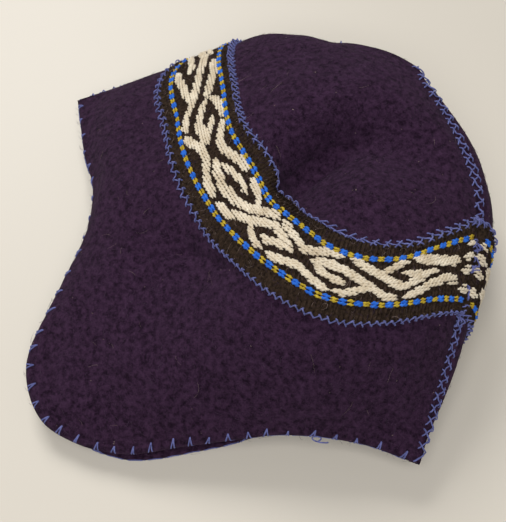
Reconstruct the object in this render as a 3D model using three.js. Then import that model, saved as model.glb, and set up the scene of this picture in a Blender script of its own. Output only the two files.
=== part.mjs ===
import * as THREE from 'three';

// A soft felt hat lying on its back panel. Millimetres, +Z up, +Y towards the crown,
// +X towards the side seam that faces up. The origin is under the middle of its box.

// Driving dimensions
const FELT = 3;             // thickness of the felt wall
const BAND = 1.8;           // thickness of the woven band
const GAP = 0.3;            // clearance between pieces that touch
const MIDDLE = { x: -15, y: 2 };    // middle of the hat in the tables' coordinates
const SEAM_REACH = 2;       // longest mitre at a seam, as a multiple of the felt

// Columns across a panel, from the left seam (s = 0) to the right seam (s = 1)
const COLUMNS = 40;

// Rows up a panel, from the rim (t = 0) to the seam over the crown (t = 1),
// with the number of steps up to the next row
const ROWS = {
  rim: { t: 0.0, steps: 4 },
  skirt: { t: 0.24, steps: 3 },
  foot: { t: 0.44, steps: 4 },
  head: { t: 0.6, steps: 3 },
  low: { t: 0.74, steps: 3 },
  high: { t: 0.88, steps: 4 },
  top: { t: 1.0, steps: 0 },
};

// Side seams, where front and back meet: x, y, z on the left and on the right
const SEAM = {
  rim: { lx: -161, ly: -4, lz: 18, rx: 131, ry: -2, rz: 20 },
  skirt: { lx: -147, ly: 31, lz: 22, rx: 111, ry: 28, rz: 37 },
  foot: { lx: -129, ly: 66, lz: 28, rx: 92.7, ry: 54.4, rz: 52 },
  head: { lx: -110, ly: 97, lz: 37, rx: 64, ry: 93.6, rz: 60 },
  low: { lx: -101, ly: 104, lz: 41, rx: 46, ry: 110, rz: 64 },
  high: { lx: -91, ly: 108, lz: 43, rx: 14.5, ry: 123, rz: 67 },
  top: { lx: -82, ly: 114, lz: 50, rx: -24, ry: 136, rz: 69 },
};

// Front panel, arched up from seam to seam. sag: how far the row swings towards the rim.
// rise: height of the arch. lean and slant move the swing and the rise to the right.
// roundL, roundR: 1 for a side that turns straight down. steepL, steepR: power of the arch.
// over: how far the left side hangs out over its seam.
const FRONT = {
  rim: { sag: 60, lean: 0.1, rise: 20, slant: 0, roundL: 0.5, roundR: 0.5, steepL: 1, steepR: 1, over: 0 },
  skirt: { sag: 72, lean: 0.1, rise: 28, slant: 0.2, roundL: 0.9, roundR: 0.7, steepL: 0.65, steepR: 0.75, over: 6 },
  foot: { sag: 77, lean: 0.14, rise: 28, slant: 0.22, roundL: 1, roundR: 0.8, steepL: 0.6, steepR: 0.65, over: 9 },
  head: { sag: 72, lean: 0.4, rise: 31, slant: 0.15, roundL: 1, roundR: 0.8, steepL: 0.6, steepR: 0.75, over: 11 },
  low: { sag: 46, lean: 0.34, rise: 31, slant: 0.1, roundL: 0.9, roundR: 0.6, steepL: 0.6, steepR: 0.9, over: 10 },
  high: { sag: 11.5, lean: 0.2, rise: 23, slant: 0, roundL: 0.7, roundR: 0.5, steepL: 0.8, steepR: 0.9, over: 8 },
  top: { sag: -2, lean: 0, rise: 7, slant: 0, roundL: 0.3, roundR: 0.3, steepL: 1, steepR: 1.3, over: 1 },
};

// Crease from the flap up through the band: place across, width, pull towards the rim, depth
const CREASE = {
  rim: { at: 0.5, width: 0.1, pull: 0, deep: 0 },
  skirt: { at: 0.5, width: 0.1, pull: 0, deep: 1 },
  foot: { at: 0.51, width: 0.09, pull: 0, deep: 4 },
  head: { at: 0.5, width: 0.08, pull: -5, deep: 4 },
  low: { at: 0.54, width: 0.08, pull: 0, deep: 2 },
  high: { at: 0.55, width: 0.12, pull: 0, deep: 0 },
  top: { at: 0.6, width: 0.15, pull: 0, deep: 0 },
};

// Back panel, flat on the surface inside its rounded sides. sag as above.
// side: share of the half width over which a side comes down. over: bulge past the right seam.
// lift: room left under the felt for the band. round: as roundL and roundR above.
const BACK = {
  rim: { sag: 60, side: 0.5, over: 0, lift: 0, round: 0.5 },
  skirt: { sag: 62, side: 0.45, over: 9, lift: 0, round: 0.7 },
  foot: { sag: 50, side: 0.42, over: 11, lift: BAND + GAP, round: 0.9 },
  head: { sag: 43, side: 0.4, over: 15, lift: BAND + GAP, round: 0.9 },
  low: { sag: 20, side: 0.4, over: 15, lift: 0, round: 0.8 },
  high: { sag: -8, side: 0.4, over: 16, lift: 0, round: 0.6 },
  top: { sag: -30, side: 0.4, over: 5, lift: 0, round: 0.3 },
};

// Cut edge of the front panel: its flap between two hollows
const FRONT_EDGE = [
  { s: 0, x: -161, y: -4, z: 18 },
  { s: 0.12, x: -125, y: -24, z: 24 },
  { s: 0.29, x: -79, y: -51, z: 29 },
  { s: 0.38, x: -58, y: -85, z: 26 },
  { s: 0.44, x: -40, y: -118, z: 19 },
  { s: 0.52, x: -8, y: -132, z: 13 },
  { s: 0.61, x: 29, y: -114, z: 12 },
  { s: 0.7, x: 55, y: -79, z: 20 },
  { s: 0.8, x: 81, y: -45, z: 29 },
  { s: 0.9, x: 106, y: -20, z: 27 },
  { s: 1, x: 131, y: -2, z: 20 },
];

// Cut edge of the back panel, whose flap lies flat a little behind the front one
const BACK_EDGE = [
  { s: 0, x: -161, y: -4, z: 18 },
  { s: 0.04, x: -150, y: -8, z: 9 },
  { s: 0.12, x: -124, y: -18, z: 4 },
  { s: 0.29, x: -75, y: -44, z: 0 },
  { s: 0.38, x: -55, y: -79, z: 0 },
  { s: 0.44, x: -38, y: -110, z: 0 },
  { s: 0.52, x: -6, y: -125, z: 0 },
  { s: 0.61, x: 30, y: -111, z: 0 },
  { s: 0.7, x: 53, y: -76, z: 0 },
  { s: 0.8, x: 73, y: -37, z: 3 },
  { s: 0.9, x: 101, y: -12, z: 7 },
  { s: 0.96, x: 120, y: -5, z: 12 },
  { s: 1, x: 131, y: -2, z: 20 },
];

// Curved hollow pressed into the crown, round a low knob. steep: width of its outer slope.
// gentle: width of its inner one. turn: side on which it is deepest. power: how fast it fades.
const HOLLOW = { x: 27, y: 54, radius: 34, steep: 18, gentle: 32, deep: 25, turn: 184, power: 1.6 };
const HOLLOW_START = { t: 0.56, span: 0.1 };

// Dent under the band at the crease: steep on the band's side, gentle towards the flap
const DENT = { x: -13, y: -30, long: 28, steep: 10, gentle: 34, deep: 9 };

// The back's end of the crown: share of its length that curves up, share that joins the seam,
// and how far its wall swells out
const CROWN_END = { curve: 0.22, join: 0.2, swell: 7 };

// Bulge past the right seam from which that side is fully rounded
const ROLL_FROM = 10;

const { PI, sin, cos, hypot, atan2, sqrt, exp, max, min } = Math;
const clamp01 = (v) => min(max(v, 0), 1);
const smooth = (v) => clamp01(v) ** 2 * (3 - 2 * clamp01(v));
const mix = (a, b, k) => a + (b - a) * k;

// Smooth curve through the rows of a table, read at one value of its key column
function through(table, key, column, value) {
  const last = table.length - 2;
  let i = 0;
  while (i < last && value >= table[i + 1][key]) i += 1;
  const slope = (j) => (table[j + 1][column] - table[j][column]) / span(j);
  const span = (j) => table[j + 1][key] - table[j][key];
  const tangent = (j) => {
    if (j === 0) return slope(0);
    if (j === table.length - 1) return slope(j - 1);
    return (slope(j - 1) * span(j) + slope(j) * span(j - 1)) / (span(j - 1) + span(j));
  };
  const h = span(i);
  const u = (value - table[i][key]) / h;
  return (1 + 2 * u) * (1 - u) ** 2 * table[i][column]
    + u * (1 - u) ** 2 * h * tangent(i)
    + u * u * (3 - 2 * u) * table[i + 1][column]
    + u * u * (u - 1) * h * tangent(i + 1);
}

// All columns of a row table at height t
function rowAt(table, t) {
  const rows = Object.keys(ROWS).map((name) => ({ t: ROWS[name].t, ...table[name] }));
  const out = {};
  for (const column of Object.keys(rows[0])) out[column] = through(rows, 't', column, t);
  return out;
}

function edgeAt(table, s) {
  return new THREE.Vector3(...['x', 'y', 'z'].map((column) => through(table, 's', column, s)));
}

// Straight line from seam to seam, with the points drawn to its ends where the sides are round
function chord(s, t, roundL, roundR) {
  const seam = rowAt(SEAM, t);
  const round = mix(roundL, roundR, s);
  const u = mix(s, (1 - cos(PI * s)) / 2, round);
  return new THREE.Vector3(mix(seam.lx, seam.rx, u), mix(seam.ly, seam.ry, u), mix(seam.lz, seam.rz, u));
}

// Front arch before its cut edge and its dents
function frontArch(s, t) {
  const row = rowAt(FRONT, t);
  const crease = rowAt(CREASE, t);
  const p = chord(s, t, row.roundL, row.roundR);
  const side = -cos(PI * s);
  const arch = max(sin(PI * s), 1e-9);
  const fold = exp(-(((s - crease.at) / crease.width) ** 2));
  const hang = s < 0.5 ? row.over * sin(2 * PI * s) : 0;
  p.x -= 0.77 * hang;
  p.y += 0.64 * hang - row.sag * arch * (1 + row.lean * side) - crease.pull * fold;
  p.z += row.rise * arch ** mix(row.steepL, row.steepR, s) * (1 + row.slant * side) - crease.deep * fold;
  return p;
}

// Moves the bottom row onto its cut edge, fading out towards the band
function toEdge(p, s, t, arch, edge) {
  const fade = clamp01(1 - t / ROWS.foot.t) ** 2;
  return p.add(edgeAt(edge, s).sub(arch(s, 0)).multiplyScalar(fade));
}

function frontSurface(s, t) {
  const p = toEdge(frontArch(s, t), s, t, frontArch, FRONT_EDGE);
  const free = smooth(min(sin(PI * s) * 2.5, 1) * min((1 - t) * 6, 1));
  const along = (p.x - DENT.x) / DENT.long;
  const across = (p.y - DENT.y) / (p.y > DENT.y ? DENT.steep : DENT.gentle);
  const dent = DENT.deep * exp(-(along ** 2) - across ** 2);
  const radius = hypot(p.x - HOLLOW.x, p.y - HOLLOW.y);
  const angle = atan2(p.y - HOLLOW.y, p.x - HOLLOW.x) - THREE.MathUtils.degToRad(HOLLOW.turn);
  const facing = 0.5 + 0.5 * cos(angle) * min(radius / HOLLOW.radius, 1);
  const off = (radius - HOLLOW.radius) / (radius > HOLLOW.radius ? HOLLOW.steep : HOLLOW.gentle);
  const start = smooth((t - HOLLOW_START.t) / HOLLOW_START.span);
  const hollow = HOLLOW.deep * facing ** HOLLOW.power * start * exp(-(off ** 2));
  p.z -= (dent + hollow) * free;
  return p;
}

// Back arch: its sides and its crown end come down in quarter ellipses to the flat,
// and where it bulges past the right seam that side is a half round
function backArch(s, t) {
  const row = rowAt(BACK, t);
  const p = chord(s, t, row.round, row.round);
  const inward = clamp01(2 * min(s, 1 - s) / row.side);
  const upward = clamp01((1 - t) / CROWN_END.curve);
  const hung = sqrt(1 - (1 - inward) ** 2);
  const rolled = (1 - cos(PI * sqrt(inward))) / 2;
  const roll = s > 0.5 ? clamp01(row.over / ROLL_FROM) : 0;
  const flat = mix(hung, rolled, roll) * sqrt(1 - (1 - upward) ** 2);
  const seamHeight = mix(p.z, frontSurface(s, 1).z, 1 - upward);
  const bulge = s > 0.5 ? row.over * sin(PI * sqrt(inward)) : 0;
  p.x += 0.8 * bulge;
  p.y += 0.6 * bulge - row.sag * sin(PI * s);
  p.z = mix(seamHeight, row.lift, flat);
  return p;
}

function backSurface(s, t) {
  const p = toEdge(backArch(s, t), s, t, backArch, BACK_EDGE);
  const join = clamp01((t - 1 + CROWN_END.join) / CROWN_END.join) ** 2;
  p.add(frontSurface(s, 1).sub(backArch(s, 1)).multiplyScalar(join));
  const upward = clamp01((1 - t) / CROWN_END.curve);
  p.y += CROWN_END.swell * sin(PI * (1 - upward)) * max(sin(PI * s), 0) ** 0.7;
  p.z = max(p.z, 0);
  return p;
}

// Heights of all grid rows, and the index of the row at each named place
const heights = [];
const rowIndex = {};
const names = Object.keys(ROWS);
names.forEach((name, i) => {
  rowIndex[name] = heights.length;
  const { t, steps } = ROWS[name];
  const next = i + 1 < names.length ? ROWS[names[i + 1]].t : t;
  for (let k = 0; k < steps; k += 1) heights.push(mix(t, next, k / steps));
});
heights.push(ROWS.top.t);
rowIndex.top = heights.length - 1;

const centre = new THREE.Vector3(MIDDLE.x, MIDDLE.y, 0);
const gridOf = (surface) => heights.map((t) => Array.from({ length: COLUMNS + 1 },
  (_, c) => surface(c / COLUMNS, t).sub(centre)));

// Outward normals of a grid of points; turn is 1 for the front and -1 for the back.
// The two top corners, where row and column run along one seam, take their neighbour's.
function normalsOf(grid, turn) {
  const last = grid.length - 1;
  const normals = grid.map((line, r) => line.map((_, c) => {
    const up = grid[min(r + 1, last)][c].clone().sub(grid[max(r - 1, 0)][c]);
    const across = line[min(c + 1, COLUMNS)].clone().sub(line[max(c - 1, 0)]);
    return across.cross(up).normalize().multiplyScalar(turn);
  }));
  normals[last][0] = normals[last - 1][1];
  normals[last][COLUMNS] = normals[last - 1][COLUMNS - 1];
  return normals;
}

// A wall between an outer and an inner grid, closed round its four edges
function wall(name, outer, inner, turn, material) {
  const rows = outer.length;
  const columns = outer[0].length;
  const points = [...outer.flat(), ...inner.flat()];
  const shift = rows * columns;
  const at = (r, c, side) => side * shift + r * columns + c;
  const faces = [];
  const quad = (a, b, c, d) => faces.push(a, b, c, a, c, d);
  for (let r = 0; r < rows - 1; r += 1) {
    for (let c = 0; c < columns - 1; c += 1) {
      quad(at(r, c, 0), at(r, c + 1, 0), at(r + 1, c + 1, 0), at(r + 1, c, 0));
      quad(at(r, c, 1), at(r + 1, c, 1), at(r + 1, c + 1, 1), at(r, c + 1, 1));
    }
    quad(at(r, 0, 0), at(r + 1, 0, 0), at(r + 1, 0, 1), at(r, 0, 1));
    quad(at(r, columns - 1, 0), at(r, columns - 1, 1), at(r + 1, columns - 1, 1), at(r + 1, columns - 1, 0));
  }
  for (let c = 0; c < columns - 1; c += 1) {
    quad(at(0, c, 0), at(0, c, 1), at(0, c + 1, 1), at(0, c + 1, 0));
    quad(at(rows - 1, c, 0), at(rows - 1, c + 1, 0), at(rows - 1, c + 1, 1), at(rows - 1, c, 1));
  }
  if (turn < 0) faces.reverse();
  const geometry = new THREE.BufferGeometry().setFromPoints(points).setIndex(faces);
  geometry.computeVertexNormals();
  const mesh = new THREE.Mesh(geometry, material);
  mesh.name = name;
  return mesh;
}

const moved = (grid, normals, distance) => grid.map((line, r) => line.map(
  (p, c) => p.clone().addScaledVector(normals[r][c], distance)));

// Felt panels. Their edges butt along the seams: both stop on the mitre between the walls.
const frontOuter = gridOf(frontSurface);
const backOuter = gridOf(backSurface);
const frontNormals = normalsOf(frontOuter, 1);
const backNormals = normalsOf(backOuter, -1);
const frontInner = moved(frontOuter, frontNormals, -FELT);
const backInner = moved(backOuter, backNormals, -FELT);

const lastRow = heights.length - 1;
for (let r = 0; r <= lastRow; r += 1) {
  for (let c = 0; c <= COLUMNS; c += 1) {
    const onSeam = c === 0 || c === COLUMNS || r === lastRow;
    if (!onSeam) continue;
    const nr = r === lastRow ? r - 1 : r;
    const nc = min(max(c, 1), COLUMNS - 1);
    const seam = frontOuter[r][c].clone();
    const mitre = frontNormals[r][c].clone().add(backNormals[r][c]).normalize();
    const reach = FELT * min(1 / max(mitre.dot(frontNormals[r][c]), 1e-3), SEAM_REACH);
    const apart = frontOuter[nr][nc].clone().sub(backOuter[nr][nc]).normalize();
    const inside = seam.clone().addScaledVector(mitre, -reach);
    frontOuter[r][c] = seam.clone().addScaledVector(apart, GAP / 2);
    backOuter[r][c] = seam.clone().addScaledVector(apart, -GAP / 2);
    frontInner[r][c] = inside.clone().addScaledVector(apart, GAP / 2);
    backInner[r][c] = inside.clone().addScaledVector(apart, -GAP / 2);
    // The next inner points stay on their own side of the mitre
    const under = frontInner[nr][nc].clone().sub(frontInner[r][c]).dot(apart);
    const above = backInner[nr][nc].clone().sub(backInner[r][c]).dot(apart);
    frontInner[nr][nc].addScaledVector(apart, max(-under, 0));
    backInner[nr][nc].addScaledVector(apart, -max(above, 0));
  }
}

const felt = new THREE.MeshStandardMaterial({ color: 0x2f2134, roughness: 0.95, metalness: 0 });
const weave = new THREE.MeshStandardMaterial({ color: 0x6d6255, roughness: 0.85, metalness: 0 });

// Woven band, in a front and a back half that meet at the side seams, laid on the felt
function band(name, grid, normals, turn) {
  const rows = [rowIndex.foot, rowIndex.head + 1];
  const part = grid.slice(...rows);
  const out = normals.slice(...rows);
  const inner = moved(part, out, GAP);
  const outer = moved(part, out, GAP + BAND);
  return wall(name, outer, inner, turn, weave);
}

const hat = new THREE.Group();
hat.add(
  wall('front_panel', frontOuter, frontInner, 1, felt),
  wall('back_panel', backOuter, backInner, -1, felt),
  band('band_front', frontOuter, frontNormals, 1),
  band('band_back', backOuter, backNormals, -1),
);

export default hat;
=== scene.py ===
import math

import bpy
import numpy as np
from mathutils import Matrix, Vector


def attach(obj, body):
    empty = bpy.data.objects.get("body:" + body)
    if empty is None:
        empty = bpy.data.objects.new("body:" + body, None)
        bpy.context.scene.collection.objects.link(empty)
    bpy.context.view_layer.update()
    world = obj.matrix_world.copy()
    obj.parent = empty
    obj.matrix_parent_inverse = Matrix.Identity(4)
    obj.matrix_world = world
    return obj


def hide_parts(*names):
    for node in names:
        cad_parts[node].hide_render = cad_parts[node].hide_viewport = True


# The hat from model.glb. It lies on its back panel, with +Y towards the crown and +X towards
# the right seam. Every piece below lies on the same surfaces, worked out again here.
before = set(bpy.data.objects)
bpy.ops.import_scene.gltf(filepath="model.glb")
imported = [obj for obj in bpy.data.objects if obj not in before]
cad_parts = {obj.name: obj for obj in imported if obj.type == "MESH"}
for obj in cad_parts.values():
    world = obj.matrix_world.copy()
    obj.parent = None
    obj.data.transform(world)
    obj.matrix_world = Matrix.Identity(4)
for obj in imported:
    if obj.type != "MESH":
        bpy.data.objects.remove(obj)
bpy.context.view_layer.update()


# Camera and light.
# The camera looks down on the hat from beyond the right end of its rim, as a person at a
# counter would. A large soft window beyond the left seam and a pale room overhead light it.

SENSOR = 36                             # width of the camera's sensor in millimetres
FOCAL_LENGTH, LONG_SIDE = 1000, 522     # in pixels of the picture
AIM, DISTANCE = Vector((0.015, -0.002, 0.040)), 0.520   # where it looks and from how far
AZIMUTH, ELEVATION = math.radians(50.7), math.radians(61)
LIT = Vector((0, 0, 0.03))              # where the lamps point

camera_data = bpy.data.cameras.new("camera")
camera_data.sensor_width = SENSOR
camera_data.lens = SENSOR * FOCAL_LENGTH / LONG_SIDE
camera = bpy.data.objects.new("camera", camera_data)
bpy.context.scene.collection.objects.link(camera)
bpy.context.scene.camera = camera
back_of_camera = Vector((
    math.sin(AZIMUTH) * math.cos(ELEVATION),
    -math.cos(AZIMUTH) * math.cos(ELEVATION),
    math.sin(ELEVATION),
))
camera.location = AIM + DISTANCE * back_of_camera
camera.rotation_mode = "QUATERNION"
camera.rotation_quaternion = (-back_of_camera).to_track_quat("-Z", "Y")
camera_data.clip_start = 0.05
camera_data.clip_end = 20


def soft_light(name, towards, distance, size, energy, colour):
    """A square lamp that looks at the hat from some way off in a direction."""
    data = bpy.data.lights.new(name, "AREA")
    data.size = size
    data.energy = energy
    data.color = colour
    lamp = bpy.data.objects.new(name, data)
    bpy.context.scene.collection.objects.link(lamp)
    direction = Vector(towards).normalized()
    lamp.location = LIT + direction * distance
    lamp.rotation_mode = "QUATERNION"
    lamp.rotation_quaternion = direction.to_track_quat("Z", "Y")


soft_light("window", towards=(-0.6, 0.2, 0.65), distance=2.6, size=1.2, energy=44,
           colour=(1.0, 0.98, 0.95))
soft_light("room", towards=(0.35, -0.35, 0.9), distance=2.0, size=1.4, energy=34,
           colour=(1.0, 0.98, 0.96))

world = bpy.data.worlds.new("room")
world.use_nodes = True
background = world.node_tree.nodes["Background"]
background.inputs["Color"].default_value = (1.0, 0.985, 0.965, 1)
background.inputs["Strength"].default_value = 0.13
bpy.context.scene.world = world
bpy.context.scene.view_settings.view_transform = "Standard"


# Floor.
# The hat lies on a plain counter top of pale stone. The stone is only a setting, and is no
# part of the hat.

COUNTER = 3                             # half the side of the counter top in metres

floor_mesh = bpy.data.meshes.new("floor")
floor_mesh.from_pydata(
    [(x * COUNTER, y * COUNTER, 0) for x, y in ((-1, -1), (1, -1), (1, 1), (-1, 1))],
    [], [(0, 1, 2, 3)])
floor = bpy.data.objects.new("floor", floor_mesh)
bpy.context.scene.collection.objects.link(floor)
stone = bpy.data.materials.new("pale_counter")
stone.use_nodes = True
stone_shader = stone.node_tree.nodes["Principled BSDF"]
stone_shader.inputs["Base Color"].default_value = (0.60, 0.565, 0.50, 1)
stone_shader.inputs["Roughness"].default_value = 0.45
floor_mesh.materials.append(stone)


# Felt panels.
# Two panels cut from thick wet-felted wool, aubergine coloured, front and back. Each has a
# rounded flap at the rim, and they butt together along the side seams and over the crown.
# The shape of the front is an arch from seam to seam, and the back lies flat under it.

MM = 0.001                  # the shapes are drawn in millimetres and put down in metres
FELT = 3.0                  # thickness of the felt
GAP = 0.3                   # clearance where pieces meet
MIDDLE = np.array([-15.0, 2.0, 0.0])    # middle of the hat in the tables' coordinates
SEAM_REACH = 2.0            # longest mitre inside a seam, in felt thicknesses

# Height up a panel, from the rim to the seam over the crown, at the rows of the tables:
# rim, skirt, foot of the band, head of the band, low crown, high crown, top
HEIGHT = [0, 0.24, 0.44, 0.60, 0.74, 0.88, 1]
FOOT, HEAD = HEIGHT[2], HEIGHT[3]

# Side seams on the left and on the right
SEAM = {
    "left_x": [-161, -147, -129, -110, -101, -91, -82],
    "left_y": [-4, 31, 66, 97, 104, 108, 114],
    "left_z": [18, 22, 28, 37, 41, 43, 50],
    "right_x": [131, 111, 92.7, 64, 46, 14.5, -24],
    "right_y": [-2, 28, 54.4, 93.6, 110, 123, 136],
    "right_z": [20, 37, 52, 60, 64, 67, 69],
}

# Front: sag towards the rim and rise of the arch, how far lean and slant move them to the
# right, how round and steep its two sides are, and how far the left side hangs over its seam
FRONT = {
    "sag": [60, 72, 77, 72, 46, 11.5, -2],
    "lean": [0.1, 0.1, 0.14, 0.4, 0.34, 0.2, 0],
    "rise": [20, 28, 28, 31, 31, 23, 7],
    "slant": [0, 0.2, 0.22, 0.15, 0.1, 0, 0],
    "round_left": [0.5, 0.9, 1, 1, 0.9, 0.7, 0.3],
    "round_right": [0.5, 0.7, 0.8, 0.8, 0.6, 0.5, 0.3],
    "steep_left": [1, 0.65, 0.6, 0.6, 0.6, 0.8, 1],
    "steep_right": [1, 0.75, 0.65, 0.75, 0.9, 0.9, 1.3],
    "over": [0, 6, 9, 11, 10, 8, 1],
}

# Crease from the flap up through the band: its place, width, pull towards the rim and depth
CREASE = {
    "at": [0.5, 0.5, 0.51, 0.5, 0.54, 0.55, 0.6],
    "width": [0.1, 0.1, 0.09, 0.08, 0.08, 0.12, 0.15],
    "pull": [0, 0, 0, -5, 0, 0, 0],
    "deep": [0, 1, 4, 4, 2, 0, 0],
}

# Back: sag, share of the half width over which a side comes down, bulge past the right seam,
# room left under the felt for the band, and roundness of the sides
BACK = {
    "sag": [60, 62, 50, 43, 20, -8, -30],
    "side": [0.5, 0.45, 0.42, 0.4, 0.4, 0.4, 0.4],
    "over": [0, 9, 11, 15, 15, 16, 5],
    "lift": [0, 0, 2.1, 2.1, 0, 0, 0],
    "round": [0.5, 0.7, 0.9, 0.9, 0.8, 0.6, 0.3],
}

# Cut edges of the two flaps, from the left corner to the right one
FRONT_EDGE = {
    "s": [0, 0.12, 0.29, 0.38, 0.44, 0.52, 0.61, 0.7, 0.8, 0.9, 1],
    "x": [-161, -125, -79, -58, -40, -8, 29, 55, 81, 106, 131],
    "y": [-4, -24, -51, -85, -118, -132, -114, -79, -45, -20, -2],
    "z": [18, 24, 29, 26, 19, 13, 12, 20, 29, 27, 20],
}
BACK_EDGE = {
    "s": [0, 0.04, 0.12, 0.29, 0.38, 0.44, 0.52, 0.61, 0.7, 0.8, 0.9, 0.96, 1],
    "x": [-161, -150, -124, -75, -55, -38, -6, 30, 53, 73, 101, 120, 131],
    "y": [-4, -8, -18, -44, -79, -110, -125, -111, -76, -37, -12, -5, -2],
    "z": [18, 9, 4, 0, 0, 0, 0, 0, 0, 3, 7, 12, 20],
}

# Hollow pressed into the crown round a low knob: its middle, the radius of its deepest line, its
# reach outside and inside that, its depth, and the side that it is deepest on, in degrees
HOLLOW = {"x": 27, "y": 54, "radius": 34, "steep": 18, "gentle": 32, "deep": 25, "turn": 184}
HOLLOW_FADE = 1.6           # power by which it fades towards its shallow side
HOLLOW_START, HOLLOW_SPAN = 0.56, 0.1   # height at which it begins, and over which it sets in

# Dent under the band: its middle, length, reach towards the crown and the rim, and depth
DENT = {"x": -13, "y": -30, "long": 28, "steep": 10, "gentle": 34, "deep": 9}
FREE_SIDE, FREE_TOP = 2.5, 6            # how soon both get their depth, away from the seams

# Crown's end at the back: the shares of its height over which it comes down to the flat and
# joins the front, and how far and how roundly it swells
END_CURVE, END_JOIN, END_SWELL, END_ROUND = 0.22, 0.2, 7.0, 0.7

HANG_X, HANG_Y = 0.77, 0.64             # the way out over the left seam
BULGE_X, BULGE_Y = 0.8, 0.6             # the way out past the right seam
ROLL_FROM = 10.0            # bulge past the right seam from which the side is fully rounded


def smooth(v):
    """Nought below 0, one above 1, and the curve 3v2 - 2v3 between."""
    v = np.clip(v, 0, 1)
    return v * v * (3 - 2 * v)


def mix(a, b, share):
    """Some share of the straight way from a to b."""
    return a + (b - a) * share


def curve(knots, values, at):
    """Smooth curve through the values: a cubic on each span, whose slope at a knot is the
    mean of the slopes beside it, each weighted by the other's span."""
    knots, values = np.asarray(knots, float), np.asarray(values, float)
    span = np.diff(knots)
    slope = np.diff(values) / span
    tangent = np.concatenate([
        slope[:1],
        (slope[:-1] * span[1:] + slope[1:] * span[:-1]) / (span[:-1] + span[1:]),
        slope[-1:],
    ])
    i = np.clip(np.searchsorted(knots, at, side="right") - 1, 0, len(span) - 1)
    u = (at - knots[i]) / span[i]
    return (
        (1 + 2 * u) * (1 - u) ** 2 * values[i] + u * (1 - u) ** 2 * span[i] * tangent[i]
        + u * u * (3 - 2 * u) * values[i + 1] + u * u * (u - 1) * span[i] * tangent[i + 1]
    )


def row_of(table, t):
    """Each column of a table at height t, on its smooth curve."""
    return {name: curve(HEIGHT, column, t) for name, column in table.items()}


def point(x, y, z):
    """Points from arrays of their coordinates."""
    return np.stack(np.broadcast_arrays(x, y, z), -1)


def edge_of(table, s):
    """A cut edge: a smooth curve for each coordinate."""
    return point(*(curve(table["s"], table[axis], s) for axis in "xyz"))


def chord(s, t, round_left, round_right):
    """Straight line from seam to seam at height t. Where a side is round, the points crowd
    towards the seam as (1 - cos) / 2 does."""
    seam = row_of(SEAM, t)
    u = mix(s, (1 - np.cos(np.pi * s)) / 2, mix(round_left, round_right, s))
    return point(*(mix(seam[f"left_{axis}"], seam[f"right_{axis}"], u) for axis in "xyz"))


def front_arch(s, t):
    """The chord, swung towards the rim and raised by powers of sin(pi s), with a bell-shaped
    crease and the left side hung out over its seam."""
    row, crease = row_of(FRONT, t), row_of(CREASE, t)
    p = chord(s, t, row["round_left"], row["round_right"])
    side, arch = -np.cos(np.pi * s), np.maximum(np.sin(np.pi * s), 1e-9)
    fold = np.exp(-(((s - crease["at"]) / crease["width"]) ** 2))
    hang = np.where(s < 0.5, row["over"] * np.sin(2 * np.pi * s), 0)
    p[..., 0] -= HANG_X * hang
    p[..., 1] += (HANG_Y * hang - row["sag"] * arch * (1 + row["lean"] * side)
                  - crease["pull"] * fold)
    steep = mix(row["steep_left"], row["steep_right"], s)
    p[..., 2] += row["rise"] * arch ** steep * (1 + row["slant"] * side) - crease["deep"] * fold
    return p


def to_edge(p, s, t, arch, edge):
    """Moves the bottom row onto the cut edge, by a share that fades to nought at the band."""
    share = np.clip(1 - t / FOOT, 0, 1) ** 2
    return p + (edge_of(edge, s) - arch(s, 0 * s)) * share[..., None]


def front_surface(s, t):
    """Front arch on its cut edge, less a bell-shaped dent and a ring-shaped hollow."""
    p = to_edge(front_arch(s, t), s, t, front_arch, FRONT_EDGE)
    x, y = p[..., 0], p[..., 1]
    free = smooth(
        np.minimum(np.sin(np.pi * s) * FREE_SIDE, 1) * np.minimum((1 - t) * FREE_TOP, 1))
    across = (y - DENT["y"]) / np.where(y > DENT["y"], DENT["steep"], DENT["gentle"])
    dent = DENT["deep"] * np.exp(-(((x - DENT["x"]) / DENT["long"]) ** 2) - across ** 2)
    radius = np.hypot(x - HOLLOW["x"], y - HOLLOW["y"])
    angle = np.arctan2(y - HOLLOW["y"], x - HOLLOW["x"]) - math.radians(HOLLOW["turn"])
    facing = 0.5 + 0.5 * np.cos(angle) * np.minimum(radius / HOLLOW["radius"], 1)
    off = radius - HOLLOW["radius"]
    ring = np.exp(-((off / np.where(off > 0, HOLLOW["steep"], HOLLOW["gentle"])) ** 2))
    start = smooth((t - HOLLOW_START) / HOLLOW_SPAN)
    p[..., 2] -= (dent + HOLLOW["deep"] * facing ** HOLLOW_FADE * start * ring) * free
    return p


def back_arch(s, t):
    """The chord, swung towards the rim, whose sides and crown end come down to the flat in
    quarter ellipses. Where it bulges past the right seam, that side is a half round."""
    row = row_of(BACK, t)
    p = chord(s, t, row["round"], row["round"])
    inward = np.clip(2 * np.minimum(s, 1 - s) / row["side"], 0, 1)
    upward = np.clip((1 - t) / END_CURVE, 0, 1)
    hung = np.sqrt(1 - (1 - inward) ** 2)
    rolled = (1 - np.cos(np.pi * np.sqrt(inward))) / 2
    roll = np.where(s > 0.5, np.clip(row["over"] / ROLL_FROM, 0, 1), 0)
    flat = mix(hung, rolled, roll) * np.sqrt(1 - (1 - upward) ** 2)
    seam_height = mix(p[..., 2], front_surface(s, 0 * s + 1)[..., 2], 1 - upward)
    bulge = np.where(s > 0.5, row["over"] * np.sin(np.pi * np.sqrt(inward)), 0)
    p[..., 0] += BULGE_X * bulge
    p[..., 1] += BULGE_Y * bulge - row["sag"] * np.sin(np.pi * s)
    p[..., 2] = mix(seam_height, row["lift"], flat)
    return p


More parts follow.
